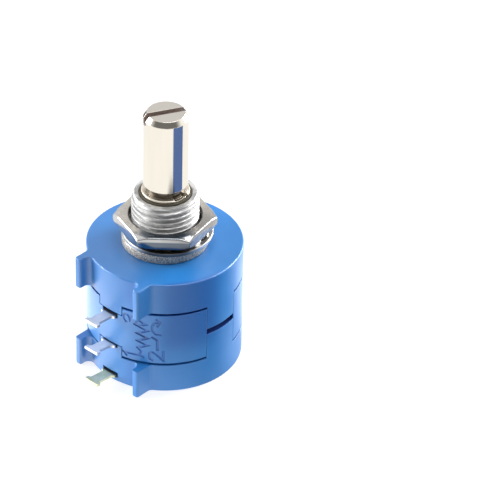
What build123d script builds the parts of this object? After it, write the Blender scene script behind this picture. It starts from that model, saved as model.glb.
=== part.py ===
from build123d import *
import os
from math import cos, degrees, pi, radians, sin, tan

# Ten-turn wirewound precision potentiometer for panel mounting, in millimetres.
# +Z runs up the shaft, the origin is the centre of the rear face, and the three solder
# terminals point along -Y. Angles are in degrees from the terminals, anticlockwise seen
# from the shaft end. The shaft and the wiper stand at the middle of their ten turns.

# ---- moulded case: two cups closed over a drum that shows in two windows ----
body_radius = 11.11
body_height = 18.35
skirt_wall = 1.1
front_wall = 1.8
rear_floor = 0.7
rim_round = 0.2
window_half_angle = 76.0
front_skirt_depth = 4.85
rear_skirt_height = 4.5
centre_slot = 0.95
seam_gap = 0.4
hairline = 0.06
drum_play = 0.1
drum_wall = 1.41
drum_foot_height = 0.55
panel_root = 0.2
tongue_half_angle = 10.8
front_tongue_length = 1.52
tongue_gap = 0.16

# ---- mounting lugs on both cups ----
lug_offset = 5.57
lug_thickness = 1.1
lug_projection = 0.8
lug_root_round = 0.8
lug_round = 0.35

# ---- solder terminals and their leads ----
terminal_thickness = 0.4
terminal_projection = 3.79
terminal_root_width = 2.5
terminal_waist_width = 1.6
terminal_tip_width = 2.45
terminal_tip_length = 0.6
terminal_root_length = 0.4
terminal_bend_radius = 10.4
terminal_bend_angles = (5.0, 9.0, 3.5)
terminal_slot_width = 2.85
terminal_slot_height = 0.8
terminal_cover_gap = 0.07
lead_thickness = 0.3
lead_width = 0.9
lead_offset = 0.65
lead_channel_width = 3.0
lead_channel_wall = 0.7

# ---- threaded bushing, 3/8-32, and what is clamped on it ----
thread_diameter = 9.525
flange_radius = 6.15
flange_height = 1.5
bushing_height = 8.2
bushing_chamfer = 0.36
bushing_chamfer_height = 0.9
bushing_neck_radius = 5.0
bushing_lip_radius = 5.6
bushing_lip_height = 0.5
counterbore_radius = 3.75
counterbore_depth = 0.45
shaft_clearance = 0.04
nut_across_flats = 12.7
nut_height = 1.86
nut_sides = 6
nut_angle = 41.2
nut_corner_round = 0.5
nut_edge_round = 0.4
nut_countersink = 0.5
nut_play = 0.05
washer_radius = 6.42
washer_band = 0.75
washer_thickness = 0.5
washer_tooth_count = 12
washer_tooth_reach = 0.45
washer_tooth_root = 0.1
washer_tooth_width = 1.25
washer_tooth_twist = 35.0
washer_shift = 0.38
nut_seat_gap = 0.01

# ---- shaft, retaining ring and thrust washer ----
shaft_diameter = 6.35
shaft_height = 21.4
shaft_chamfer = 0.5
shaft_chamfer_height = 0.75
shaft_slot_width = 1.0
shaft_slot_depth = 1.5
shaft_slot_angle = 152.5
shaft_core_radius = 2.4
shaft_tail_radius = 1.5
shaft_tail_clearance = 0.05
neck_radius = 2.7
neck_length = 1.3
neck_chamfer = 0.21
ring_radius = 3.4
ring_thickness = 0.35
ring_edge_round = 0.12
ring_opening = 44.0
ring_opening_angle = 88.0
thrust_washer_thickness = 0.6
thrust_washer_play = 0.08

# ---- rotor, wiper and resistance element ----
turns = 10
element_section = 0.6
element_overrun = 5.0
element_play = 0.04
rotor_play = 0.86
rotor_rear_gap = 1.5
rotor_front_gap = 0.75
rotor_boss_radius = 3.9
rotor_boss_gap = 0.12
rotor_slot_width = 2.6
rotor_slot_floor = 3.3
rail_width = 1.2
rail_thickness = 0.3
slip_ring_inner = 3.2
slip_ring_outer = 5.2
slip_ring_thickness = 0.4
carriage_height = 2.4
carriage_end_play = 0.1
carriage_play = 0.06
carriage_rail_gap = 0.4
carriage_nose_gap = 0.66
finger_width = 0.8
finger_root = 0.4
finger_play = 0.12
contact_width = 0.5
contact_thickness = 0.16
contact_gap = 0.05
brush_height = 0.25
brush_bend_gap = 0.6
rear_hub_radius = 2.8
rear_hub_height = 1.0
rear_hub_floor = 0.35

# ---- how far a cutter runs on past what it cuts ----
cut_over = 1.0

# ---- sizes that follow from the ones above ----
skirt_inner = body_radius - skirt_wall
drum_radius = skirt_inner - drum_play
drum_bore_radius = drum_radius - drum_wall
drum_foot = rear_floor + drum_foot_height
lug_reach = body_radius + lug_projection
terminal_reach = body_radius + terminal_projection
front_seam = body_height - front_skirt_depth
front_inside = body_height - front_wall
front_tongue_bottom = front_seam - front_tongue_length
terminal_pitch = (front_tongue_bottom - hairline - terminal_slot_height - rear_floor) / 2
rear_tongue_top = rear_floor + terminal_pitch + terminal_thickness + terminal_cover_gap
pillar_middle = 90.0
pillar_half_angle = 90.0 - window_half_angle
panel_bottom = rear_skirt_height + seam_gap
panel_top = front_seam - seam_gap
flange_top = body_height + flange_height
bushing_top = body_height + bushing_height
bushing_end = front_inside - bushing_lip_height
counterbore_floor = bushing_top - counterbore_depth
shaft_radius = shaft_diameter / 2
bushing_bore = shaft_radius + shaft_clearance
thread_radius = thread_diameter / 2
tooth_lift = washer_tooth_width * sin(radians(washer_tooth_twist))
tooth_top = washer_thickness * (1 + cos(radians(washer_tooth_twist))) / 2 + tooth_lift
nut_bottom = flange_top + tooth_top + nut_seat_gap
thrust_washer_top = counterbore_floor + thrust_washer_thickness
ring_bottom = thrust_washer_top + hairline
shaft_top = body_height + shaft_height
lead_outside = drum_bore_radius + lead_channel_wall + hairline + lead_thickness
element_outer = drum_bore_radius - element_play
element_inner = element_outer - element_section
rotor_radius = element_inner - rotor_play
rotor_bottom = rear_floor + rotor_rear_gap
rotor_top = front_inside - rotor_front_gap
element_middle = (rotor_bottom + rotor_top) / 2
travel = rotor_top - rotor_bottom - carriage_height - 2 * carriage_end_play
element_pitch = travel / turns
carriage_inner = rotor_slot_floor + rail_thickness + carriage_rail_gap
carriage_nose = element_inner - carriage_nose_gap
carriage_middle = (carriage_inner + carriage_nose) / 2


def degrees_across(length, radius):
    """Angle in degrees that an arc of this length takes at this radius."""
    return degrees(length / radius)


def ring(outer, inner, bottom, top):
    """Upright ring or, with no inner radius, a disc."""
    height = top - bottom
    at = Pos(0, 0, bottom)
    low = (Align.CENTER, Align.CENTER, Align.MIN)
    body = at * Cylinder(outer, height, align=low)
    if inner > 0:
        body -= at * Cylinder(inner, height, align=low)
    return body


def sector(outer, inner, middle, half_angle, bottom, top):
    """Part of an upright ring, centred on an angle from the terminals."""
    section = Plane.XZ * Pos((inner + outer) / 2, (bottom + top) / 2) * Rectangle(outer - inner, top - bottom)
    return Rot(0, 0, middle - half_angle - 90) * revolve(section, Axis.Z, 2 * half_angle)


def block(x0, x1, y0, y1, z0, z1):
    """Box between two corners."""
    return Pos((x0 + x1) / 2, (y0 + y1) / 2, (z0 + z1) / 2) * Box(x1 - x0, y1 - y0, z1 - z0)


def turned(*points):
    """Solid turned about the shaft axis from (radius, height) corners."""
    return revolve(make_face(Plane.XZ * Polyline(*points, close=True)), Axis.Z)


def cup(bottom, top, rim):
    """Solid cup with a pair of lugs that blend into its side; rim is -1 for the low end, 0 for the high."""
    outline = Circle(body_radius)
    for side in (-1, 1):
        outline += Pos(side * lug_offset, -lug_reach / 2) * Rectangle(lug_thickness, lug_reach)
    roots = outline.vertices().filter_by_position(Axis.Y, -body_radius, -body_radius / 2)
    outline = fillet(roots, lug_root_round)
    outline = fillet(outline.vertices().group_by(Axis.Y)[0], lug_round)
    blank = Pos(0, 0, bottom) * extrude(outline, top - bottom)
    return fillet(blank.edges().group_by(Axis.Z)[rim], rim_round)


def pillars(bottom, top):
    """The two walls of a cup that run on beside the windows."""
    left = sector(body_radius, skirt_inner, -pillar_middle, pillar_half_angle, bottom, top)
    return left + sector(body_radius, skirt_inner, pillar_middle, pillar_half_angle, bottom, top)


def terminal_slot(bottom, top):
    """Cutter for the slot that a terminal comes out of."""
    half = terminal_slot_width / 2
    return block(-half, half, -body_radius - cut_over, -drum_bore_radius, bottom, top)


def front_housing():
    """Front cup: end wall with the bushing's seat, skirt, two long walls, tongue and lugs."""
    body = cup(front_seam, body_height, -1) - ring(skirt_inner, 0, front_seam, front_inside)
    body += pillars((body_height + centre_slot) / 2, front_seam)
    body += sector(body_radius, skirt_inner, 0, tongue_half_angle, front_tongue_bottom, front_seam)
    return body - ring(bushing_neck_radius, 0, front_inside, body_height)


def rear_housing():
    """Rear cup: floor with the shaft's tail bearing, skirt, two long walls, tongue and lugs."""
    hub_top = rear_floor + rear_hub_height
    body = cup(0, rear_skirt_height, 0) - ring(skirt_inner, 0, rear_floor, rear_skirt_height)
    body += ring(skirt_inner, drum_bore_radius + lead_channel_wall, rear_floor, drum_foot)
    body += pillars(rear_skirt_height, (body_height - centre_slot) / 2)
    body += sector(body_radius, skirt_inner, 0, tongue_half_angle, rear_skirt_height, rear_tongue_top)
    body += ring(rear_hub_radius, 0, rear_floor, hub_top)
    body -= ring(shaft_tail_radius + shaft_tail_clearance, 0, rear_hub_floor, hub_top)
    low = terminal_bottom(1)
    body -= terminal_slot(low, low + terminal_slot_height)
    return body - terminal_slot(terminal_bottom(2), rear_tongue_top + cut_over)


def terminal_bottom(number):
    """Height of the underside of terminal 1, 2 or 3."""
    return rear_floor + (number - 1) * terminal_pitch


def panel(middle):
    """Part of the drum that fills a window flush with the cups."""
    half = window_half_angle - degrees_across(hairline, body_radius)
    return sector(body_radius, drum_radius - panel_root, middle, half, panel_bottom, panel_top)


def terminal_panel():
    """Front panel, notched for both cups' tongues and slotted for terminal 3."""
    half = tongue_half_angle + degrees_across(tongue_gap, body_radius)
    inner = drum_radius - 2 * panel_root
    outer = body_radius + cut_over
    low = terminal_bottom(3)
    face = panel(0)
    face -= sector(outer, inner, 0, half, front_tongue_bottom - tongue_gap, panel_top + cut_over)
    face -= sector(outer, inner, 0, half, panel_bottom - cut_over, rear_tongue_top + tongue_gap)
    return face - terminal_slot(low, low + terminal_slot_height)


def element_drum():
    """Drum that carries the element on its bore, with a panel for each window."""
    drum = ring(drum_radius, drum_bore_radius, drum_foot, front_inside - hairline)
    drum += terminal_panel() + panel(180)
    channel_bottom = drum_bore_radius + lead_channel_wall
    half_width = lead_channel_width / 2
    drum -= block(-half_width, half_width, -skirt_inner, -channel_bottom, drum_foot - cut_over, front_inside)
    for side in (-1, 1):
        drum -= lead_tab(side, element_end(side), hairline)
    return drum


def element_end(side):
    """Height of the wire at its rear (-1) or front (1) end."""
    return element_middle + side * (travel / 2 + element_pitch * element_overrun / 360)


def resistance_element():
    """Resistance winding on its mandrel: ten right-hand turns against the drum's bore."""
    total = turns + 2 * element_overrun / 360
    path = Helix(element_pitch, total * element_pitch, element_outer - element_section / 2)
    start = Plane(origin=path @ 0, x_dir=(1, 0, 0), z_dir=path % 0)
    wire = sweep(start * Rectangle(element_section, element_section), path, is_frenet=True)
    return Pos(0, 0, element_end(-1)) * Rot(0, 0, -90 - element_overrun) * wire


def terminal_outline(inner):
    """Half outline of a terminal: wide root, drawn-in waist and square tip."""
    root = terminal_root_width / 2
    waist = terminal_waist_width / 2
    tip = terminal_tip_width / 2
    shoulder = -(body_radius + terminal_root_length)
    neck = shoulder - (root - waist)
    tip_start = -(terminal_reach - terminal_tip_length)
    tip_neck = tip_start + (tip - waist)
    lines = Polyline((0, inner), (root, inner), (root, shoulder))
    lines += RadiusArc((root, shoulder), (waist, neck), -(root - waist))
    lines += Line((waist, neck), (waist, tip_neck))
    lines += RadiusArc((waist, tip_neck), (tip, tip_start), -(tip - waist))
    lines += Polyline((tip, tip_start), (tip, -terminal_reach), (0, -terminal_reach), (0, inner))
    return make_face(lines)


def bent_strip(bend):
    """Strip wider than a terminal: level in the wall, then bent up by an angle."""
    rise = (terminal_reach - terminal_bend_radius) * tan(radians(bend))
    top = terminal_thickness
    profile = Polyline(
        (-lead_outside, 0), (-terminal_bend_radius, 0), (-terminal_reach, rise),
        (-terminal_reach, rise + top), (-terminal_bend_radius, top), (-lead_outside, top), close=True)
    return extrude(make_face(Plane.YZ * profile), terminal_root_width, both=True)


def terminal(number):
    """Flat solder terminal, pushed into its slot from inside and bent up a little outside."""
    half = terminal_outline(-lead_outside)
    blank = extrude(half + mirror(half, Plane.YZ), terminal_root_width)
    strip = Pos(0, 0, terminal_bottom(number)) * (blank & bent_strip(terminal_bend_angles[number - 1]))
    if number == 1:
        edge = terminal_root_width
        strip -= block(0, edge, -skirt_inner, 0, 0, rear_floor + terminal_thickness)
    return strip


def lead_tab(side, height, room=0.0):
    """End of a lead that crosses the drum's wall to the element."""
    x = side * lead_offset
    half = lead_width / 2 + room
    rise = lead_thickness / 2 + room
    return block(x - half, x + half, -lead_outside, -element_outer - hairline, height - rise, height + rise)


def lead(side, bottom, top, tab):
    """Bent strip from a terminal's inner end to one end of the element."""
    x = side * lead_offset
    half = lead_width / 2
    upright = block(x - half, x + half, -lead_outside, lead_thickness - lead_outside, bottom, top)
    return upright + lead_tab(side, tab)


def rear_lead():
    """Strip from terminal 1 up to the rear end of the element."""
    tab = element_end(-1)
    return lead(-1, terminal_bottom(1), tab + lead_thickness / 2, tab)


def front_lead():
    """Strip from terminal 3 up to the front end of the element."""
    tab = element_end(1)
    return lead(1, terminal_bottom(3), tab + lead_thickness / 2, tab)


def wiper_brush():
    """Spring strip from terminal 2 down and in to the slip ring."""
    top = terminal_bottom(2) + terminal_thickness
    floor = rear_floor + brush_height
    thin = contact_thickness
    outer = -lead_outside
    bend = -(slip_ring_outer + brush_bend_gap)
    tip = -(slip_ring_inner + slip_ring_outer) / 2
    crown = rotor_bottom - slip_ring_thickness - contact_gap
    upright = outer + lead_thickness
    profile = Polyline(
        (outer, top), (outer, floor), (bend, floor), (tip, crown - thin),
        (tip, crown), (bend, floor + thin), (upright, floor + thin), (upright, top), close=True)
    strip = extrude(make_face(Plane.YZ * profile), lead_width / 2, both=True)
    return Pos(lead_offset, 0, 0) * strip


def bushing():
    """Turned metal bushing, held in the front wall between its flange and a swaged lip."""
    return turned(
        (bushing_bore, bushing_end), (bushing_lip_radius, bushing_end),
        (bushing_lip_radius, front_inside), (bushing_neck_radius, front_inside),
        (bushing_neck_radius, body_height), (flange_radius, body_height),
        (flange_radius, flange_top), (thread_radius, flange_top),
        (thread_radius, bushing_top - bushing_chamfer_height),
        (thread_radius - bushing_chamfer, bushing_top), (counterbore_radius, bushing_top),
        (counterbore_radius, counterbore_floor), (bushing_bore, counterbore_floor))


def thrust_washer():
    """Dark plastic washer in the bushing's counterbore, under the retaining ring."""
    outer = counterbore_radius - thrust_washer_play
    return ring(outer, bushing_bore, counterbore_floor, thrust_washer_top)


def shaft():
    """Control shaft: slotted end, neck for the retaining ring, core in the rotor, tail."""
    neck_top = ring_bottom + neck_length
    rod = turned(
        (0, rear_hub_floor + hairline), (shaft_tail_radius, rear_hub_floor + hairline),
        (shaft_tail_radius, rotor_bottom), (shaft_core_radius, rotor_bottom),
        (shaft_core_radius, rotor_top), (shaft_radius, rotor_top),
        (shaft_radius, ring_bottom), (neck_radius, ring_bottom), (neck_radius, neck_top),
        (shaft_radius - neck_chamfer, neck_top), (shaft_radius, neck_top + neck_chamfer),
        (shaft_radius, shaft_top - shaft_chamfer_height), (shaft_radius - shaft_chamfer, shaft_top),
        (0, shaft_top))
    cutter = Pos(0, 0, shaft_top) * Box(2 * shaft_diameter, shaft_slot_width, 2 * shaft_slot_depth)
    return rod - Rot(0, 0, shaft_slot_angle - 90) * cutter


def retaining_ring():
    """Open spring ring snapped into the shaft's neck."""
    whole = ring(ring_radius, neck_radius, ring_bottom, ring_bottom + ring_thickness)
    whole = fillet(whole.edges().filter_by(GeomType.CIRCLE).group_by(SortBy.RADIUS)[-1], ring_edge_round)
    half = ring_opening / 2
    outer = ring_radius + cut_over
    return whole - sector(outer, shaft_tail_radius, ring_opening_angle, half, ring_bottom, shaft_top)


def rotor():
    """Moulded rotor on the shaft's core, slotted along its length for the wiper."""
    boss_top = bushing_end - rotor_boss_gap
    body = ring(rotor_radius, shaft_core_radius, rotor_bottom, rotor_top)
    body += ring(rotor_boss_radius, shaft_radius, rotor_top, boss_top)
    half = rotor_slot_width / 2
    return body - block(-half, half, -rotor_radius - cut_over, -rotor_slot_floor, rotor_bottom, boss_top)


def contact_rail():
    """Plated rail on the floor of the rotor's slot, standing on the slip ring."""
    half = rail_width / 2
    face = -(rotor_slot_floor + rail_thickness)
    return block(-half, half, face, -rotor_slot_floor, rotor_bottom, rotor_top)


def slip_ring():
    """Plated ring on the rotor's rear face."""
    return ring(slip_ring_outer, slip_ring_inner, rotor_bottom - slip_ring_thickness, rotor_bottom)


def wiper_carriage():
    """Plastic block that slides in the rotor's slot, led by a fork that straddles the wire."""
    half = rotor_slot_width / 2 - carriage_play
    low = element_middle - carriage_height / 2
    body = block(-half, half, -carriage_nose, -carriage_inner, low, low + carriage_height)
    width = contact_width / 2 + hairline
    rise = contact_thickness / 2 + hairline
    z = element_middle
    body -= block(-width, width, -carriage_nose, -carriage_inner, z - rise, z + rise)
    near = element_section / 2 + finger_play
    far = element_pitch - near
    tip = drum_bore_radius - finger_play
    root = carriage_nose - finger_root
    half = finger_width / 2
    body += block(-half, half, -tip, -root, z + near, z + far)
    return body + block(-half, half, -tip, -root, z - far, z - near)


def contact(outer, inner):
    """Spring strip in the carriage's window between two radii."""
    half = contact_width / 2
    thin = contact_thickness / 2
    return block(-half, half, -outer, -inner, element_middle - thin, element_middle + thin)


def wiper_contact():
    """Spring contact from the carriage's window out to the element."""
    return contact(element_inner - contact_gap, carriage_middle)


def rail_contact():
    """Spring contact from the carriage's window in to the rail."""
    return contact(carriage_middle, rotor_slot_floor + rail_thickness + contact_gap)


def washer_tooth():
    """One tooth of the lock washer, twisted up out of the band."""
    blade = Box(washer_tooth_reach + washer_tooth_root, washer_tooth_width, washer_thickness)
    middle = washer_radius - washer_band + (washer_tooth_root - washer_tooth_reach) / 2
    height = (washer_thickness + tooth_lift) / 2
    return Pos(middle, 0, height) * Rot(washer_tooth_twist, 0, 0) * blade


def lock_washer():
    """Internal-tooth lock washer, lying a little off centre on the flange."""
    washer = ring(washer_radius, washer_radius - washer_band, 0, washer_thickness)
    for number in range(washer_tooth_count):
        washer += Rot(0, 0, number * 360 / washer_tooth_count) * washer_tooth()
    x = washer_shift * cos(radians(nut_angle))
    y = washer_shift * sin(radians(nut_angle))
    return Pos(x, y, flange_top) * washer


def mounting_nut():
    """Hexagon nut with rounded edges, countersunk on its bore."""
    corner = nut_across_flats / 2 / cos(pi / nut_sides)
    blank = extrude(RegularPolygon(corner, nut_sides), nut_height)
    blank = fillet(blank.edges().filter_by(Axis.Z), nut_corner_round)
    faces = blank.edges().group_by(Axis.Z)
    blank = fillet(faces[0] + faces[-1], nut_edge_round)
    bore = thread_radius + nut_play
    wide = bore + nut_countersink
    low = nut_countersink
    high = nut_height - nut_countersink
    hole = turned((0, 0), (wide, 0), (bore, low), (bore, high), (wide, nut_height), (0, nut_height))
    return Pos(0, 0, nut_bottom) * Rot(0, 0, nut_angle) * (blank - hole)


def main():
    """Write one STEP file for each piece."""
    pieces = {
        "front_housing": front_housing(),
        "rear_housing": rear_housing(),
        "element_drum": element_drum(),
        "resistance_element": resistance_element(),
        "front_lead": front_lead(),
        "rear_lead": rear_lead(),
        "wiper_brush": wiper_brush(),
        "bushing": bushing(),
        "thrust_washer": thrust_washer(),
        "shaft": shaft(),
        "retaining_ring": retaining_ring(),
        "rotor": rotor(),
        "contact_rail": contact_rail(),
        "slip_ring": slip_ring(),
        "wiper_carriage": wiper_carriage(),
        "wiper_contact": wiper_contact(),
        "rail_contact": rail_contact(),
        "lock_washer": lock_washer(),
        "mounting_nut": mounting_nut(),
    }
    for number in (1, 2, 3):
        pieces[f"terminal_{number}"] = terminal(number)
    os.makedirs("parts", exist_ok=True)
    for name, piece in pieces.items():
        export_step(piece, f"parts/{name}.step")


main()
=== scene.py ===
import math

import bmesh
import bpy
from mathutils import Matrix, Vector


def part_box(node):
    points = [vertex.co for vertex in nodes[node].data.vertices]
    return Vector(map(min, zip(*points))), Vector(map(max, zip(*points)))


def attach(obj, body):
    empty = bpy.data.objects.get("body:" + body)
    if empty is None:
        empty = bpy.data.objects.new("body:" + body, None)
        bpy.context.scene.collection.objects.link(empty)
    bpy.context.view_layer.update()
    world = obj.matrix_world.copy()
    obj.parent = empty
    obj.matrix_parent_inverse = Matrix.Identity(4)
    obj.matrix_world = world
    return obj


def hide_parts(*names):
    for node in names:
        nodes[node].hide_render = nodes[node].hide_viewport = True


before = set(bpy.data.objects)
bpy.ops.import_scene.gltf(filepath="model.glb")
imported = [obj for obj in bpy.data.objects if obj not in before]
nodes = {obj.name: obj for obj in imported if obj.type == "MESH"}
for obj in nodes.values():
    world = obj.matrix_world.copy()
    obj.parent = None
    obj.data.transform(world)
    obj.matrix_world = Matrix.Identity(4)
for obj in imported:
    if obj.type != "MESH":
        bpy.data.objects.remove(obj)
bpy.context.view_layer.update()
mm = 0.001


# ---- Rear cup -------------------------------------------------------------------------
# Injection-moulded thermoplastic, mid blue all the way through, with a fine satin grain
# from the spark-eroded tool. It holds the shaft's tail and is clipped over the drum.

class Wire:
    """One output of a node. Arithmetic on it adds Math nodes to its tree."""

    def __init__(self, bench, node, socket):
        self.bench, self.node, self.socket = bench, node, socket

    def also(self, name):
        """Another output of the same node."""
        return Wire(self.bench, self.node, pick(self.node.outputs, name))

    def maths(self, operation, *inputs):
        """A Math node on these inputs, or on this socket alone."""
        sockets = dict(enumerate(inputs or (self,)))
        return self.bench.add("ShaderNodeMath", {"operation": operation}, sockets)

    def __add__(self, other):
        return self.maths("ADD", self, other)

    def __sub__(self, other):
        return self.maths("SUBTRACT", self, other)

    def __rsub__(self, other):
        return self.maths("SUBTRACT", other, self)

    def __mul__(self, other):
        return self.maths("MULTIPLY", self, other)

    def __truediv__(self, other):
        return self.maths("DIVIDE", self, other)

    def __rtruediv__(self, other):
        return self.maths("DIVIDE", other, self)

    def __pow__(self, other):
        return self.maths("POWER", self, other)

    def __gt__(self, other):
        return self.maths("GREATER_THAN", self, other)

    def __lt__(self, other):
        return self.maths("LESS_THAN", self, other)

    __radd__, __rmul__ = __add__, __mul__

    def ramp(self, low, high, way="SMOOTHSTEP"):
        """0 at low and below, 1 at high and above."""
        inputs = {"Value": self, "From Min": low, "From Max": high}
        return self.bench.add("ShaderNodeMapRange", {"interpolation_type": way}, inputs)


def pick(sockets, key):
    """A socket by its number, its identifier or its name."""
    if isinstance(key, int):
        return sockets[key]
    same = [s for s in sockets if s.identifier == key] or [s for s in sockets if s.name == key]
    return same[0]


class Bench:
    """A node tree on the bench, being wired up."""

    def __init__(self, tree):
        self.tree = tree
        tree.nodes.clear()

    def add(self, kind, settings=None, sockets=None, out=0):
        """The one way a node gets in: its type, its settings, then its sockets' values or links."""
        node = self.tree.nodes.new(kind)
        for name, value in (settings or {}).items():
            setattr(node, name, value)
        for key, value in (sockets or {}).items():
            socket = pick(node.inputs, key)
            if isinstance(value, Wire):
                self.tree.links.new(value.socket, socket)
            else:
                socket.default_value = value
        return Wire(self, node, pick(node.outputs, out) if len(node.outputs) else None)

    def colour(self, factor, a, b):
        """Colour a turned into colour b by a factor."""
        settings = {"data_type": "RGBA", "clamp_factor": True}
        sockets = {"Factor_Float": factor, "A_Color": a, "B_Color": b}
        return self.add("ShaderNodeMix", settings, sockets, "Result_Color")

    def noise(self, size, detail=2.0, stretch=(1, 1, 1), roughness=0.5):
        """Noise on the piece's own coordinates, with patches of about this size in metres."""
        place = self.add("ShaderNodeTexCoord", out="Object")
        place = self.add("ShaderNodeMapping", sockets={"Vector": place, "Scale": stretch})
        sockets = {"Vector": place, "Scale": 1 / size, "Detail": detail, "Roughness": roughness}
        return self.add("ShaderNodeTexNoise", sockets=sockets)

    def bump(self, height, depth, under=None):
        """Bump of a height map, in metres, over another normal or none."""
        sockets = {"Height": height, "Distance": depth, "Strength": 1.0}
        if under:
            sockets["Normal"] = under
        return self.add("ShaderNodeBump", sockets=sockets)

    def rounded(self, radius):
        """A normal that softens the edges by this radius in metres."""
        return self.add("ShaderNodeBevel", {"samples": 6}, {"Radius": radius})

    def place(self):
        """Distance from the shaft's axis, angle about it and height, on the piece's coordinates."""
        spot = self.add("ShaderNodeTexCoord", out="Object")
        x = self.add("ShaderNodeSeparateXYZ", sockets={0: spot})
        y, z = x.also("Y"), x.also("Z")
        return (x * x + y * y) ** 0.5, x.maths("ARCTAN2", y, x), z


def shade(name, recipe):
    """A new finish. The recipe takes a bench and gives the sockets of the shader."""
    material = bpy.data.materials.new(name)
    material.use_nodes = True
    bench = Bench(material.node_tree)
    shader = bench.add("ShaderNodeBsdfPrincipled", sockets=recipe(bench))
    bench.add("ShaderNodeOutputMaterial", sockets={"Surface": shader})
    return material


def dress(material, *names):
    """Gives CAD nodes their finish."""
    for name in names:
        nodes[name].material_slots[0].material = material


def facing(angle, middle, low, high, way="SMOOTHSTEP"):
    """1 on the side that faces the middle, in degrees, and 0 away from it, by cosines."""
    return (angle - math.radians(middle)).maths("COSINE").ramp(low, high, way)


blue = (0.007, 0.184, 0.550, 1)
pale_blue = (0.035, 0.240, 0.640, 1)
painted_light_blue = (0.060, 0.205, 0.525, 1)
painted_shade_blue = (0.0, 0.110, 0.440, 1)
gap_shade_navy = (0.002, 0.016, 0.150, 1)
gap_height = 9.175 * mm
gap_half_width = 0.49 * mm
gap_floor = 11.06 * mm


def blue_moulding(bench):
    """Recipe for the blue plastic: cloudy, pale where edges are worn, with painted light on one side
    and painted shade at the right front and in the gap between the cups.
    """
    clouds = bench.noise(6.0 * mm, 2)
    flow = bench.noise(2.2 * mm, 3, (1, 1, 0.25))
    grain = bench.noise(0.10 * mm, 2)
    edge = bench.rounded(0.16 * mm)
    flat = bench.add("ShaderNodeNewGeometry", out="Normal")
    turn = bench.add("ShaderNodeVectorMath", {"operation": "DOT_PRODUCT"}, {0: edge, 1: flat}, "Value")
    worn = (1 - turn).ramp(0.01, 0.16) * flow.ramp(0.35, 0.6)
    radius, angle, height = bench.place()
    # painted light: the blue is paler on the side towards the left softbox
    painted_light_side = facing(angle, -130, 0.1, 1.0, "LINEAR")
    # painted shade: a deeper blue on the upper walls at the right front
    painted_shade_side = facing(angle, -26, 0.88, 0.985)
    painted_shade_side = painted_shade_side * height.ramp(5.5 * mm, 9.5 * mm) * radius.ramp(10.2 * mm, 10.9 * mm)
    # painted shade: dark navy on the ledges in the gap between the cups
    gap = ((height - gap_height).maths("ABSOLUTE") < gap_half_width) * (radius < gap_floor)
    body = bench.colour(painted_light_side * 0.8, blue, painted_light_blue)
    body = bench.colour(clouds.ramp(0.3, 0.75) * 0.35, body, pale_blue)
    body = bench.colour(painted_shade_side * 0.8, body, painted_shade_blue)
    body = bench.colour(worn * 0.45, body, pale_blue)
    return {
        "Base Color": bench.colour(gap * 0.9, body, gap_shade_navy),
        "Specular IOR Level": 1.0,
        "Roughness": 0.34 + flow * 0.10 - worn * 0.06,
        "Normal": bench.bump(grain, 0.0022 * mm, bench.bump(flow, 0.006 * mm, edge))}


blue_plastic = shade("blue_moulded_plastic", blue_moulding)
dress(blue_plastic, "rear_housing")


# ---- Drum with its two window panels --------------------------------------------------
# The same blue moulding, one piece inside the cups. Its front panel has the pin numbers
# and the plain wiring sketch sunk into it by the tool, reading up along the case.

panel_radius = 11.11 * mm
mark_depth = 0.12 * mm
mark_width = 0.35 * mm
mark_overhang = 0.3 * mm
shortest_mitre = 0.35
mark_shade_blue = (0.003, 0.120, 0.500, 1)

# each stroke runs through points of angle from the terminals in degrees and height in mm
sketch = {
    "winding": [(28.3, 5.75), (25.6, 5.95), (26.9, 6.68), (24.0, 7.2), (31.5, 7.85), (23.8, 8.42),
                (31.5, 9.1), (23.7, 9.7), (31.5, 10.4), (23.7, 11.03), (30.0, 11.42), (25.2, 11.97)],
    "slider": [(38.6, 7.3), (38.6, 8.95), (34.9, 9.35)],
    "one": [(15.2, 5.45), (13.0, 5.85), (24.0, 5.95)],
    "two": [(34.9, 5.42), (33.1, 5.62), (32.6, 6.15), (33.3, 6.68), (35.0, 6.85), (37.2, 6.55),
            (42.8, 5.45), (42.9, 6.95)],
    "three": [(14.6, 11.3), (13.2, 11.6), (13.0, 12.05), (14.0, 12.45), (16.0, 12.5), (17.6, 12.1),
              (17.9, 11.75), (18.6, 12.15), (20.4, 12.4), (22.6, 12.25), (23.6, 11.8), (22.9, 11.35),
              (21.6, 11.15)],
    "turn_arrow": [(40.6, 9.9), (37.2, 9.95), (34.9, 10.5), (34.8, 11.3), (36.8, 11.95),
                   (40.4, 12.0)],
    "turn_arrow_head": [(38.8, 11.35), (40.5, 12.0), (38.2, 12.45)],
}


def on_panel(angle, height, radius):
    """Point on the drum at an angle from the terminals, a height in mm and a radius in metres."""
    a = math.radians(angle - 90)
    return Vector((radius * math.cos(a), radius * math.sin(a), height * mm))


def stroke(shape, points):
    """A square-ended ribbon along points, standing across the panel's face, as a cutter."""
    run = [Vector((math.radians(a) * panel_radius, z * mm)) for a, z in points]
    legs = [(b - a).normalized() for a, b in zip(run, run[1:])]
    loops = []
    for number, spot in enumerate(run):
        before, after = legs[max(number - 1, 0)], legs[min(number, len(legs) - 1)]
        across = Vector((-before.y - after.y, before.x + after.x)).normalized()
        mitre = max(across.dot(Vector((-after.y, after.x))), shortest_mitre)
        end = -before if number == 0 else after if number == len(run) - 1 else Vector((0, 0))
        middle = spot + end * mark_width / 2
        corners = []
        for side, lift in ((-1, -mark_depth), (1, -mark_depth),
                           (1, mark_overhang), (-1, mark_overhang)):
            flat = middle + across * (mark_width / 2 / mitre) * side
            spread = on_panel(math.degrees(flat.x / panel_radius), flat.y / mm, panel_radius + lift)
            corners.append(shape.verts.new(spread))
        loops.append(corners)
    for low, high in zip(loops, loops[1:]):
        for corner in range(4):
            following = (corner + 1) % 4
            shape.faces.new((low[corner], low[following], high[following], high[corner]))
    shape.faces.new(reversed(loops[0]))
    shape.faces.new(loops[-1])


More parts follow.
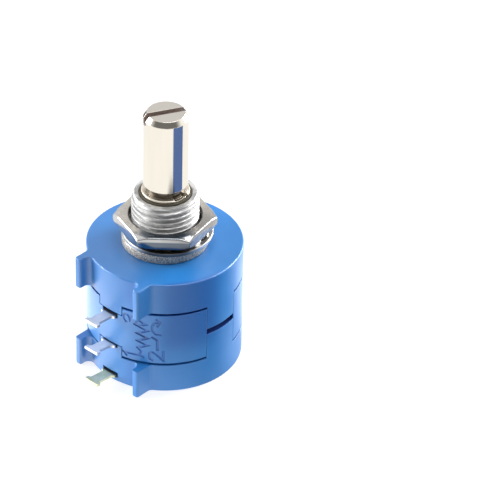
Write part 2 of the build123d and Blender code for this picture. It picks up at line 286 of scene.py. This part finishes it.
def new_piece(name, shape, material, body):
    """A mesh from bmesh as a piece with a finish, riding on a body."""
    mesh = bpy.data.meshes.new(name)
    shape.to_mesh(mesh)
    shape.free()
    piece = bpy.data.objects.new(name, mesh)
    bpy.context.scene.collection.objects.link(piece)
    mesh.materials.append(material)
    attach(piece, body)
    return piece


def copy_of(name):
    """The mesh of a CAD node, with its loose triangles joined up."""
    shape = bmesh.new()
    shape.from_mesh(nodes[name].data)
    bmesh.ops.remove_doubles(shape, verts=shape.verts, dist=0.0005 * mm)
    return shape


def made_plain(piece, modifier):
    """Turns what a modifier makes of a piece into the piece's own mesh."""
    shaped = piece.evaluated_get(bpy.context.evaluated_depsgraph_get())
    mesh = bpy.data.meshes.new_from_object(shaped)
    piece.modifiers.remove(modifier)
    piece.data = mesh


def cut(piece, cutter):
    """Takes the cutter's mesh out of the piece and removes the cutter."""
    modifier = piece.modifiers.new("cut", "BOOLEAN")
    modifier.operation, modifier.solver, modifier.object = "DIFFERENCE", "EXACT", cutter
    modifier.use_self = True
    made_plain(piece, modifier)
    bpy.data.objects.remove(cutter)


def round_normals(piece):
    """Sets the normals of the upright round faces from the axis, and leaves the rest flat."""
    mesh = piece.data
    out_of_round, leaning = 0.01 * mm, 0.05
    normals = [Vector((0, 0, 1))] * len(mesh.loops)
    for face in mesh.polygons:
        corners = [mesh.vertices[mesh.loops[i].vertex_index].co for i in face.loop_indices]
        radii = [corner.xy.length for corner in corners]
        curved = max(radii) - min(radii) < out_of_round and abs(face.normal.z) < leaning
        for loop, corner in zip(face.loop_indices, corners):
            out = Vector((corner.x, corner.y, 0)).normalized()
            outward = out * math.copysign(1, out.dot(face.normal))
            normals[loop] = outward if curved else face.normal.copy()
    for face in mesh.polygons:
        face.use_smooth = True
    mesh.normals_split_custom_set(normals)


def marked_moulding(bench):
    """The blue plastic, with painted shade in the sunk marks and behind the gap between the cups."""
    sockets = blue_moulding(bench)
    radius = bench.place()[0]
    # painted shade: the floors and walls of the sunk marks are darker blue
    sunk = radius.ramp(panel_radius - 0.03 * mm, panel_radius - 0.11 * mm) * (radius > 10.9 * mm)
    body = bench.colour(sunk * 0.7, sockets["Base Color"], mark_shade_blue)
    # painted shade: the drum seen behind the gap between the cups is dark navy
    sockets["Base Color"] = bench.colour((radius < 10.85 * mm) * 0.9, body, gap_shade_navy)
    return sockets


marked_plastic = shade("blue_moulded_plastic_marked", marked_moulding)
cutter_shape = bmesh.new()
for points in sketch.values():
    stroke(cutter_shape, points)
bmesh.ops.recalc_face_normals(cutter_shape, faces=cutter_shape.faces)
strokes = new_piece("sunk_strokes", cutter_shape, marked_plastic, "case")
drum = new_piece("drum_with_marks", copy_of("element_drum"), marked_plastic, "case")
cut(drum, strokes)
round_normals(drum)
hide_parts("element_drum")


# ---- Resistance element ---------------------------------------------------------------
# Bare alloy wire wound close on an insulated copper mandrel, coiled ten turns up the bore
# of the drum. The fine turns show as ribs across the mandrel.

wires_per_turn = 640.0
wire_painted_highlight, wire_painted_shade = (0.62, 0.55, 0.46, 1), (0.16, 0.12, 0.08, 1)
wire_stain = (0.45, 0.30, 0.18, 1)


def wound_wire(bench):
    """Recipe for the winding: one rib for each turn of fine wire, with painted light and shade on each
    rib, stained in patches.
    """
    ribs = (bench.place()[1] * wires_per_turn).maths("SINE")
    stain = bench.noise(1.4 * mm, 3)
    # painted light and shade: each rib is pale on its top and dark at its sides
    wire = bench.colour(ribs.ramp(-0.6, 0.8), wire_painted_shade, wire_painted_highlight)
    return {
        "Base Color": bench.colour(stain.ramp(0.4, 0.8) * 0.4, wire, wire_stain),
        "Metallic": 1.0,
        "Roughness": 0.30 + stain * 0.2,
        "Normal": bench.bump(ribs, 0.010 * mm)}


dress(shade("wound_resistance_wire", wound_wire), "resistance_element")


# ---- Leads and wiper brush ------------------------------------------------------------
# Stamped strips of bare brass and phosphor bronze, bent and spot welded. They carry the
# two ends of the element and the slip ring out to the terminals.

def rolled_strip(pale, dark, rough):
    """Recipe for a strip with fine rolling lines along it and a little tarnish."""
    def recipe(bench):
        lines = bench.noise(0.05 * mm, 2, (1, 0.06, 1))
        tarnish = bench.noise(1.1 * mm, 4)
        return {
            "Base Color": bench.colour(tarnish.ramp(0.4, 0.75), pale, dark),
            "Metallic": 1.0,
            "Roughness": rough + tarnish * 0.22 + lines * 0.08,
            "Normal": bench.bump(lines, 0.0015 * mm)}
    return recipe


brass, tarnished_brass = (0.80, 0.58, 0.26, 1), (0.50, 0.32, 0.12, 1)
dress(shade("bare_brass_strip", rolled_strip(brass, tarnished_brass, 0.18)),
      "front_lead", "rear_lead", "wiper_brush")


# ---- Solder terminals -----------------------------------------------------------------
# Stamped brass with hot tin over it, waisted so that a wire can be wrapped. The tin is
# bright and a little uneven, and on the lowest one it has gone yellow.

root_shadow = (0.03, 0.05, 0.10, 1)
bright_tin, grey_tin = (0.89, 0.87, 0.86, 1), (0.66, 0.68, 0.72, 1)
yellowed_tin, olive_tin = (0.78, 0.80, 0.62, 1), (0.60, 0.62, 0.36, 1)


def tinned(tin, cast, amount):
    """Recipe for tin: bright, faintly rippled, with a cast in patches and dark at the root."""
    def recipe(bench):
        ripple = bench.noise(0.7 * mm, 2)
        patch = bench.noise(1.6 * mm, 3)
        scratch = bench.noise(0.06 * mm, 2, (1, 0.08, 1))
        edge = bench.rounded(0.06 * mm)
        root = bench.place()[0].ramp(11.50 * mm, 11.20 * mm) * 0.85
        face = bench.colour(patch.ramp(0.3, 0.7) * amount, tin, cast)
        return {
            "Base Color": bench.colour(root, face, root_shadow),
            "Metallic": 1.0,
            "Roughness": 0.42 + patch * 0.16 + scratch * 0.03,
            "Normal": bench.bump(ripple, 0.020 * mm, bench.bump(scratch, 0.0006 * mm, edge))}
    return recipe


dress(shade("tinned_terminal", tinned(bright_tin, grey_tin, 0.5)), "terminal_2", "terminal_3")
dress(shade("tinned_terminal_yellowed", tinned(yellowed_tin, olive_tin, 0.8)), "terminal_1")


# ---- Rotor, rail, slip ring and wiper ---------------------------------------------------
# A black glass-filled rotor pressed on the shaft, with a plated rail and slip ring. The
# wiper's block slides along the rail, led by the wire itself, and has gilt contacts.

def filled_plastic(colour, fleck):
    """Recipe for glass-filled plastic: dull, with short pale fibres in it."""
    def recipe(bench):
        fibre = bench.noise(0.12 * mm, 2, (1, 1, 0.2))
        cloud = bench.noise(3.0 * mm, 2)
        return {
            "Base Color": bench.colour(fibre.ramp(0.62, 0.75) * 0.5, colour, fleck),
            "Roughness": 0.45 + cloud * 0.2,
            "Normal": bench.bump(fibre, 0.003 * mm)}
    return recipe


rotor_black, rotor_fibre = (0.012, 0.012, 0.014, 1), (0.09, 0.09, 0.09, 1)
ivory, ivory_fibre = (0.72, 0.68, 0.56, 1), (0.85, 0.82, 0.74, 1)
gilt, worn_gilt = (0.95, 0.72, 0.32, 1), (0.85, 0.60, 0.25, 1)
dress(shade("black_rotor_plastic", filled_plastic(rotor_black, rotor_fibre)), "rotor")
dress(shade("ivory_carriage_plastic", filled_plastic(ivory, ivory_fibre)), "wiper_carriage")
dress(shade("gilt_contact", rolled_strip(gilt, worn_gilt, 0.10)),
      "contact_rail", "slip_ring", "wiper_contact", "rail_contact")


# ---- Front cup --------------------------------------------------------------------------
# Moulded of the same blue plastic as the rear cup, with the bushing set in its end wall.
# It closes over the drum and is staked to the rear cup at the two sides.

dress(blue_plastic, "front_housing")


# ---- Threaded bushing -------------------------------------------------------------------
# Turned from brass bar, with a round flange and a 3/8-32 thread, then dull nickel plated
# all over. It is pressed into the front wall and swaged on the inside.

bushing_low, bushing_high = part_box("bushing")
flange_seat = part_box("front_housing")[1].z
flange_face = flange_seat + 1.5 * mm
inner_wall = flange_seat - 1.8 * mm
thread_pitch = 0.79375 * mm
thread_depth = 0.487 * mm
crest_flat, root_start = 0.14, 0.78
crest = 9.525 / 2 * mm
end_chamfer = 0.9 * mm
chamfer_cut = 0.36
thread_top = bushing_high.z - end_chamfer
mouth_floor = bushing_high.z - 0.45 * mm
bore, mouth, end_face, hole, swage, flange = 3.215, 3.75, 4.25, 5.0, 5.6, 6.15
steps_round = 144
steps_per_pitch = 16
thread_rows = round((thread_top - flange_face) / thread_pitch * steps_per_pitch)
chamfer_rows = round(end_chamfer / thread_pitch * steps_per_pitch)

# radius in mm and height of each point, from the bore round the outside and back
outline = [
    (bore, bushing_low.z), (swage, bushing_low.z), (swage, inner_wall), (hole, inner_wall),
    (hole, flange_seat), (flange - 0.15, flange_seat), (flange, flange_seat + 0.14 * mm),
    (flange, flange_face - 0.16 * mm), (flange - 0.05, flange_face - 0.05 * mm),
    (flange - 0.16, flange_face), (crest / mm, flange_face)]
for row in range(1, thread_rows + 1):
    outline.append((crest / mm, flange_face + (thread_top - flange_face) * row / thread_rows))
for row in range(1, chamfer_rows + 1):
    done = row / chamfer_rows
    outline.append((crest / mm - chamfer_cut * done, thread_top + end_chamfer * done))
outline += [
    (end_face, bushing_high.z), (mouth + 0.06, bushing_high.z), (mouth, bushing_high.z - 0.06 * mm),
    (mouth, mouth_floor), (bore, mouth_floor)]


def lathe(profile, steps):
    """Closed ring turned about the shaft's axis from (radius in mm, height) points."""
    shape = bmesh.new()
    loops = []
    turn = [2 * math.pi * step / steps for step in range(steps)]
    for radius, height in profile:
        reach = radius * mm
        loops.append([shape.verts.new((reach * math.cos(a), reach * math.sin(a), height))
                      for a in turn])
    for low, high in zip(loops, loops[1:] + loops[:1]):
        for step in range(steps):
            following = (step + 1) % steps
            shape.faces.new((low[step], low[following], high[following], high[step]))
    return shape


def thread_tree(material):
    """Geometry nodes that cut a right-hand V thread into whatever stands at the crest's radius."""
    tree = bpy.data.node_groups.new("cut_thread", "GeometryNodeTree")
    tree.interface.new_socket("Blank", in_out="INPUT", socket_type="NodeSocketGeometry")
    for name in ("Crest Radius", "Pitch", "Depth", "First Height", "Last Height"):
        tree.interface.new_socket(name, in_out="INPUT", socket_type="NodeSocketFloat")
    tree.interface.new_socket("Threaded", in_out="OUTPUT", socket_type="NodeSocketGeometry")
    bench = Bench(tree)
    blank = bench.add("NodeGroupInput")
    top, pitch, depth = (blank.also(name) for name in ("Crest Radius", "Pitch", "Depth"))
    first, last = blank.also("First Height"), blank.also("Last Height")
    x = bench.add("ShaderNodeSeparateXYZ", sockets={0: bench.add("GeometryNodeInputPosition")})
    y, z = x.also("Y"), x.also("Z")
    radius = (x * x + y * y) ** 0.5
    phase = (z / pitch - x.maths("ARCTAN2", y, x) / (2 * math.pi)).maths("FRACT")
    valley = ((phase - 0.5).maths("ABSOLUTE") * 2).ramp(crest_flat, root_start, "LINEAR")
    run_out = ((z - first) / pitch).ramp(0.1, 0.9)
    new_radius = radius.maths("MINIMUM", radius, top - depth * valley * run_out)
    inside = (radius > top * 0.9) * (z > first) * (z < last)
    scale = (new_radius / radius - 1) * inside
    shift = bench.add("ShaderNodeCombineXYZ", sockets={"X": x * scale, "Y": y * scale})
    moved = bench.add("GeometryNodeSetPosition", sockets={"Geometry": blank, "Offset": shift})
    real = bench.add("GeometryNodeRealizeInstances", sockets={"Geometry": moved})
    done = bench.add("GeometryNodeSetMaterial", sockets={"Geometry": real, "Material": material})
    bench.add("NodeGroupOutput", sockets={0: done})
    return tree


def plated(colour, stain, rough, grain_size, grain_depth, edge_radius=0.08 * mm):
    """Recipe for plated metal: fine grain, faint stains, and edges that the plating has rounded."""
    def recipe(bench):
        patch = bench.noise(1.3 * mm, 3)
        grain = bench.noise(grain_size, 3)
        return {
            "Base Color": bench.colour(patch.ramp(0.35, 0.75), colour, stain),
            "Metallic": 1.0,
            "Roughness": rough + patch * 0.12 + grain * 0.08,
            "Normal": bench.bump(grain, grain_depth, bench.rounded(edge_radius))}
    return recipe


dull_nickel, grey_nickel = (0.76, 0.76, 0.75, 1), (0.56, 0.56, 0.55, 1)
flange_pale, flange_dark = (0.62, 0.58, 0.51, 1), (0.22, 0.21, 0.19, 1)
tool_mark = (0.20, 0.20, 0.21, 1)


def turned_bushing(bench):
    """Dull plate, speckled on the flange, with the tool's marks along the thread."""
    sockets = plated(dull_nickel, grey_nickel, 0.42, 0.09 * mm, 0.006 * mm)(bench)
    angle, height = bench.place()[1:]
    marks = bench.noise(0.22 * mm, 3, (0.08, 0.08, 1), 0.7)
    speckle = bench.noise(0.20 * mm, 4, roughness=0.7)
    threaded = height > flange_face
    speckled = bench.colour(speckle.ramp(0.62, 0.40), flange_pale, flange_dark)
    plate = bench.colour(1 - threaded, sockets["Base Color"], speckled)
    sockets["Base Color"] = bench.colour(marks.ramp(0.56, 0.44) * threaded * 0.5, plate, tool_mark)
    chatter = ((height / thread_pitch - angle / (2 * math.pi)) * (4 * math.pi)).maths("SINE")
    chattered = bench.bump(chatter * threaded, 0.030 * mm, sockets["Normal"])
    sockets["Normal"] = bench.bump(marks * threaded, 0.10 * mm, chattered)
    return sockets


def smooth_over(piece, angle):
    """Shades a piece smoothly, but for the edges sharper than an angle in degrees."""
    piece.data.set_sharp_from_angle(angle=math.radians(angle))
    for face in piece.data.polygons:
        face.use_smooth = True


bushing_plate = shade("dull_nickel_bushing", turned_bushing)
bushing = new_piece("threaded_bushing", lathe(outline, steps_round), bushing_plate, "case")
threading = bushing.modifiers.new("thread", "NODES")
threading.node_group = thread_tree(bushing_plate)
sizes = {"Crest Radius": crest, "Pitch": thread_pitch, "Depth": thread_depth,
         "First Height": flange_face, "Last Height": bushing_high.z}
for item in threading.node_group.interface.items_tree:
    if item.in_out == "INPUT" and item.name in sizes:
        threading[item.identifier] = sizes[item.name]
made_plain(bushing, threading)
smooth_over(bushing, 38)
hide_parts("bushing")


# ---- Thrust washer ----------------------------------------------------------------------
# Dark olive plastic washer that lies in the bushing's counterbore and takes the shaft's
# end play under the retaining ring.

olive_black, olive_fibre = (0.075, 0.065, 0.045, 1), (0.16, 0.14, 0.10, 1)
dress(shade("dark_washer_plastic", filled_plastic(olive_black, olive_fibre)), "thrust_washer")


# ---- Control shaft ----------------------------------------------------------------------
# Quarter-inch rod, ground and bright nickel plated, with a neck for the retaining ring.
# The end is faced off, which leaves fine rings, and sawn across for a screwdriver.

shaft_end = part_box("shaft")[1].z
neck_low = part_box("retaining_ring")[0].z
neck_length = 1.5 * mm
slot_turned = 152.5
slot_half_width = 0.51 * mm
slot_depth = 1.6 * mm
bright_nickel, warm_nickel = (0.96, 0.90, 0.79, 1), (0.93, 0.88, 0.77, 1)
faced_nickel, sawn_and_shaded_nickel = (0.72, 0.68, 0.62, 1), (0.52, 0.46, 0.43, 1)
neck_painted_shade = (0.06, 0.045, 0.035, 1)


def ground_rod(bench):
    """Bright plate, ringed on the faced end, duller in the slot as sawn metal and painted shade, and
    painted shade in the neck.
    """
    radius, angle, height = bench.place()
    face = height.ramp(shaft_end - 0.03 * mm, shaft_end - 0.01 * mm)
    # painted shade: the neck under the retaining ring is made nearly black
    neck = (radius < 3.0 * mm) * (height > neck_low) * (height < neck_low + neck_length)
    across = (angle - math.radians(slot_turned)).maths("COSINE") * radius
    slot = (across.maths("ABSOLUTE") < slot_half_width) * (height > shaft_end - slot_depth)
    slot = slot * (1 - face)
    hoops = bench.noise(0.05 * mm, 2, (0.02, 0.02, 1))
    rings = (radius / mm * 62.0 + bench.noise(0.5 * mm, 2) * 3.0).maths("SINE")
    smear = bench.noise(1.2 * mm, 2, (1, 1, 0.12))
    plate = bench.colour(smear.ramp(0.3, 0.7), bright_nickel, warm_nickel)
    plate = bench.colour(face * 0.9, plate, faced_nickel)
    # the slot is darker as sawn metal and as painted shade
    plate = bench.colour(slot, plate, sawn_and_shaded_nickel)
    ground = bench.bump(hoops, 0.0006 * mm, bench.rounded(0.10 * mm))
    return {
        "Base Color": bench.colour(neck * 0.9, plate, neck_painted_shade),
        "Metallic": 1.0,
        "Roughness": 0.06 + smear * 0.04 + face * 0.24 + slot * 0.3,
        "Normal": bench.bump(rings * face, 0.0016 * mm, ground)}


dress(shade("ground_nickel_rod", ground_rod), "shaft")


# ---- Retaining ring -----------------------------------------------------------------------
# Open ring of spring steel wire, bright plated. It is snapped into the neck of the shaft and
# keeps the shaft from being pushed in or drawn out.

ring_bright, ring_warm = (0.95, 0.89, 0.78, 1), (0.80, 0.72, 0.60, 1)
spring_wire = plated(ring_bright, ring_warm, 0.30, 0.12 * mm, 0.001 * mm, 0.05 * mm)
dress(shade("bright_spring_ring", spring_wire), "retaining_ring")


# ---- Lock washer and mounting nut -----------------------------------------------------------
# Internal-tooth washer stamped from spring steel and zinc plated, and a half-inch hexagon nut,
# nickel plated, with painted shade in its bore. They are loose, and the nut is run down by hand.

washer_zinc, washer_stain = (0.84, 0.83, 0.80, 1), (0.66, 0.64, 0.60, 1)
washer_painted_shade = (0.05, 0.045, 0.04, 1)


def shaded_washer(bench):
    """Plated steel, with painted shade between the teeth and at the front."""
    sockets = plated(washer_zinc, washer_stain, 0.26, 0.10 * mm, 0.002 * mm, 0.20 * mm)(bench)
    radius, angle = bench.place()[:2]
    # painted shade: dark inside the teeth, under the nut, and on the front
    painted_shade = (radius.ramp(6.0 * mm, 5.7 * mm) + facing(angle, -45, 0.70, 0.94)) * 0.85
    sockets["Base Color"] = bench.colour(painted_shade, sockets["Base Color"], washer_painted_shade)
    return sockets


dress(shade("plated_lock_washer", shaded_washer), "lock_washer")

nut_low, nut_high = (corner.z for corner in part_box("mounting_nut"))
nut_turned = 71.2
flat_to_axis = 6.35
nut_bore, countersink = 4.81, 5.26
countersink_depth = 0.45 * mm
edge_round = 0.30
lower_face, upper_face = 6.60, 6.35
corner_start, corner_slope = 6.75, 0.6
nut_cream, nut_stain = (0.76, 0.72, 0.66, 1), (0.62, 0.58, 0.53, 1)
nut_blue_reflection, nut_right_shade = (0.60, 0.64, 0.70, 1), (0.20, 0.20, 0.20, 1)
nut_front_shade, nut_bore_shade = (0.12, 0.15, 0.19, 1), (0.05, 0.05, 0.05, 1)


def nut_outline(angle):
    """(radius in mm, height) points of the nut at an angle in degrees from the middle of a flat."""
    off = math.radians((angle + 30) % 60 - 30)
    reach = flat_to_axis / math.cos(off)
    drop = max(reach - corner_start, 0.0) * corner_slope * mm
    edge = [math.radians(t) for t in range(0, 91, 15)]
    q = edge_round
    return [(nut_bore, nut_low + countersink_depth), (countersink, nut_low),
            (min(reach - 0.1, lower_face), nut_low), (reach, nut_low + 0.1 * mm + drop)] + [
        (reach - q + q * math.cos(t), nut_high - drop - (q - q * math.sin(t)) * mm) for t in edge] + [
        (min(reach - q - 0.05, upper_face), nut_high), (countersink, nut_high),
        (nut_bore, nut_high - countersink_depth)]


def nickel_nut(bench):
    """Satin plate, duller on top, with a painted reflection of the blue case on its sides, and painted
    shade at the right, at the front and in its bore.
    """
    sockets = plated(nut_cream, nut_stain, 0.0, 0.08 * mm, 0.001 * mm, 0.12 * mm)(bench)
    radius, angle, height = bench.place()
    below = height.ramp(nut_high - 0.02 * mm, nut_high - 0.12 * mm)
    lip = height.ramp(nut_high - 0.75 * mm, nut_high - 0.55 * mm) * below
    # painted shade: dark blue-grey on the front, kept off the rounded top edge
    front_shade = facing(angle, -48, 0.66, 0.92) * (1 - lip * 0.78)
    # painted shade: dark in the countersink and the bore
    bore_shade = radius.ramp(5.35 * mm, 5.15 * mm)
    # painted reflection: the sides below the top take the blue of the case
    plate = bench.colour(below * 0.4, sockets["Base Color"], nut_blue_reflection)
    # painted shade: darker grey on the right side
    plate = bench.colour(facing(angle, 5, 0.5, 1.0) * 0.6, plate, nut_right_shade)
    plate = bench.colour(front_shade * 0.92, plate, nut_front_shade)
    sockets["Base Color"] = bench.colour(bore_shade * 0.9, plate, nut_bore_shade)
    sockets["Roughness"] = sockets["Roughness"] + (1 - below) * 0.16
    return sockets


nut_shape = bmesh.new()
nut_loops = []
for step in range(steps_round):
    a = math.radians(nut_turned + step * 360 / steps_round)
    nut_loops.append([nut_shape.verts.new((r * mm * math.cos(a), r * mm * math.sin(a), z))
                      for r, z in nut_outline(math.degrees(a) - nut_turned)])
for one, following in zip(nut_loops, nut_loops[1:] + nut_loops[:1]):
    for low in range(len(one)):
        high = (low + 1) % len(one)
        nut_shape.faces.new((one[low], following[low], following[high], one[high]))
nut = new_piece("chamfered_nut", nut_shape, shade("satin_nickel_nut", nickel_nut), "nut")
smooth_over(nut, 20)
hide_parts("mounting_nut")


# ---- Studio: floor, light and camera ---------------------------------------------------------
# A white paper sweep and three soft boxes, none of it part of the object. Only mirrors see the
# bright sheet close to the part, the dark patch and the blue card at the right, the dark flags
# far out, and the darker room in front.

floor_shape = bmesh.new()
bmesh.ops.create_circle(floor_shape, cap_ends=True, segments=96, radius=900 * mm)
bmesh.ops.translate(floor_shape, verts=floor_shape.verts, vec=(0, 0, -0.02 * mm))
floor_mesh = bpy.data.meshes.new("floor")
floor_shape.to_mesh(floor_mesh)
floor_shape.free()
floor = bpy.data.objects.new("floor", floor_mesh)
bpy.context.scene.collection.objects.link(floor)

white, card_blue = (1, 1, 1, 1), (0.100, 0.172, 0.42, 1)
sheet_grey = (0.36, 0.36, 0.36, 1)
white_paper = bpy.data.materials.new("white_paper")
white_paper.use_nodes = True
paper = Bench(white_paper.node_tree)


def from_spot(x, y):
    """Distance in metres from a spot on the floor, whose place is in mm."""
    place = paper.add("ShaderNodeTexCoord", out="Object")
    spot = (x * mm, y * mm, 0)
    return paper.add("ShaderNodeVectorMath", {"operation": "DISTANCE"}, {0: place, 1: spot}, "Value")


def between(angle, start, full):
    """0 before the start and 1 past the full, both angles in degrees, in either order."""
    return angle.ramp(math.radians(start), math.radians(full))


def mirror_rays(bench):
    """Camera rays, and rays of any kind that carry a picture: to the eye, a mirror or a lens."""
    eye = bench.add("ShaderNodeLightPath", out="Is Camera Ray")
    return eye, eye.maths("MAXIMUM", eye.also("Is Glossy Ray"), eye.also("Is Transmission Ray"))


eye, mirrored = mirror_rays(paper)
far, side = paper.place()[:2]

# what the eye sees of the floor, and what it throws on the part
lit = from_spot(18.0, -18.0).ramp(24 * mm, 12 * mm)
shaded = between(side, -30, -5) * between(side, 75, 45) * far.ramp(60 * mm, 34 * mm)
glow = paper.add("ShaderNodeEmission", sockets={
    "Color": white, "Strength": 0.50 + eye * 0.24 + (1 - eye) * (lit * 0.85 - shaded * 0.45)})
matt = paper.add("ShaderNodeBsdfDiffuse", sockets={"Color": sheet_grey})
sheet = paper.add("ShaderNodeAddShader", sockets={0: glow, 1: matt})

# what mirrors see of the floor
patch = from_spot(27.5, -8.5)
near = from_spot(0, 0).ramp(40 * mm, 24 * mm)
card = between(side, -12.5, -8) * between(side, 44, 41)
card = card * far.ramp(26 * mm, 31 * mm) * far.ramp(90 * mm, 70 * mm)
under = shaded * far.ramp(38 * mm, 32 * mm) * far.ramp(17 * mm, 26 * mm)
flags = (side * 2 + math.radians(40)).maths("COSINE").ramp(0.35, 0.85)
flags = flags * far.ramp(85 * mm, 125 * mm)
open_floor = 0.1 + patch.ramp(14 * mm, 22 * mm) * 0.9 + near * patch.ramp(24 * mm, 36 * mm) * 1.8
bright = paper.add("ShaderNodeEmission", sockets={
    "Color": paper.colour(card, white, card_blue),
    "Strength": open_floor * (1 - under * 0.9) * (1 - flags * 0.82)})
paper.add("ShaderNodeOutputMaterial", sockets={
    "Surface": paper.add("ShaderNodeMixShader", sockets={0: mirrored, 1: sheet, 2: bright})})
floor_mesh.materials.append(white_paper)

world = bpy.data.worlds.new("studio")
bpy.context.scene.world = world
world.use_nodes = True
sky = Bench(world.node_tree)
eye, mirrored = mirror_rays(sky)
away = sky.add("ShaderNodeTexCoord", out="Generated")


def towards(x, y, z):
    """How nearly a direction in the studio points this way, from -1 to 1."""
    sockets = {0: away, 1: (x, y, z)}
    return sky.add("ShaderNodeVectorMath", {"operation": "DOT_PRODUCT"}, sockets, "Value")


in_front, overhead = towards(0.664, -0.748, 0), towards(0, 0, 1)
dark_front = in_front.ramp(0.0, 0.55) * overhead.ramp(0.10, 0.36) * (1 - overhead.ramp(0.78, 0.92))
dim_back = towards(-0.542, 0.610, 0.578).ramp(0.75, 0.95)
room = 1 - dark_front * 0.84 - dim_back * 0.26
fill = 0.34
sky.add("ShaderNodeOutputWorld", sockets={"Surface": sky.add("ShaderNodeBackground", sockets={
    "Color": white, "Strength": eye + (1 - eye) * (mirrored * room + (1 - mirrored) * fill)})})


def soft_light(name, azimuth, elevation, distance, size, power):
    """Square area light that faces the object from an azimuth, in degrees right of the terminals."""
    a, e = math.radians(azimuth), math.radians(elevation)
    outward = Vector((math.sin(a) * math.cos(e), -math.cos(a) * math.cos(e), math.sin(e)))
    lamp = bpy.data.lights.new(name, "AREA")
    lamp.shape, lamp.size, lamp.energy = "SQUARE", size, power
    stand = bpy.data.objects.new(name, lamp)
    bpy.context.scene.collection.objects.link(stand)
    stand.location = outward * distance + Vector((0, 0, 15 * mm))
    stand.rotation_euler = outward.to_track_quat("Z", "Y").to_euler()


soft_light("left_softbox", -56, 12, 0.35, 0.19, 1.65)
soft_light("top_softbox", 120, 75, 0.40, 0.30, 0.85)
soft_light("right_softbox", 165, 14, 0.35, 0.18, 1.9)

camera_azimuth, camera_elevation, camera_roll = 41.6, 35.309, -1.5134
camera_distance = 495.50 * mm
aim_right, aim_up = 11.986 * mm, 13.820 * mm
sensor, focal_length = 36.0, 248.22864
a, e, r = (math.radians(angle) for angle in (camera_azimuth, camera_elevation, camera_roll))
right = Vector((math.cos(a), math.sin(a), 0))
back = Vector((math.cos(e) * math.sin(a), -math.cos(e) * math.cos(a), math.sin(e)))
up = back.cross(right)
lens = bpy.data.cameras.new("camera")
lens.sensor_width, lens.lens = sensor, focal_length
lens.clip_start, lens.clip_end = 0.01, 5.0
camera = bpy.data.objects.new("camera", lens)
bpy.context.scene.collection.objects.link(camera)
turned_right = math.cos(r) * right - math.sin(r) * up
turned_up = math.sin(r) * right + math.cos(r) * up
place = Matrix.Translation(aim_right * right + aim_up * up + camera_distance * back)
camera.matrix_world = place @ Matrix((turned_right, turned_up, back)).transposed().to_4x4()
bpy.context.scene.camera = camera
bpy.context.scene.view_settings.view_transform = "Standard"
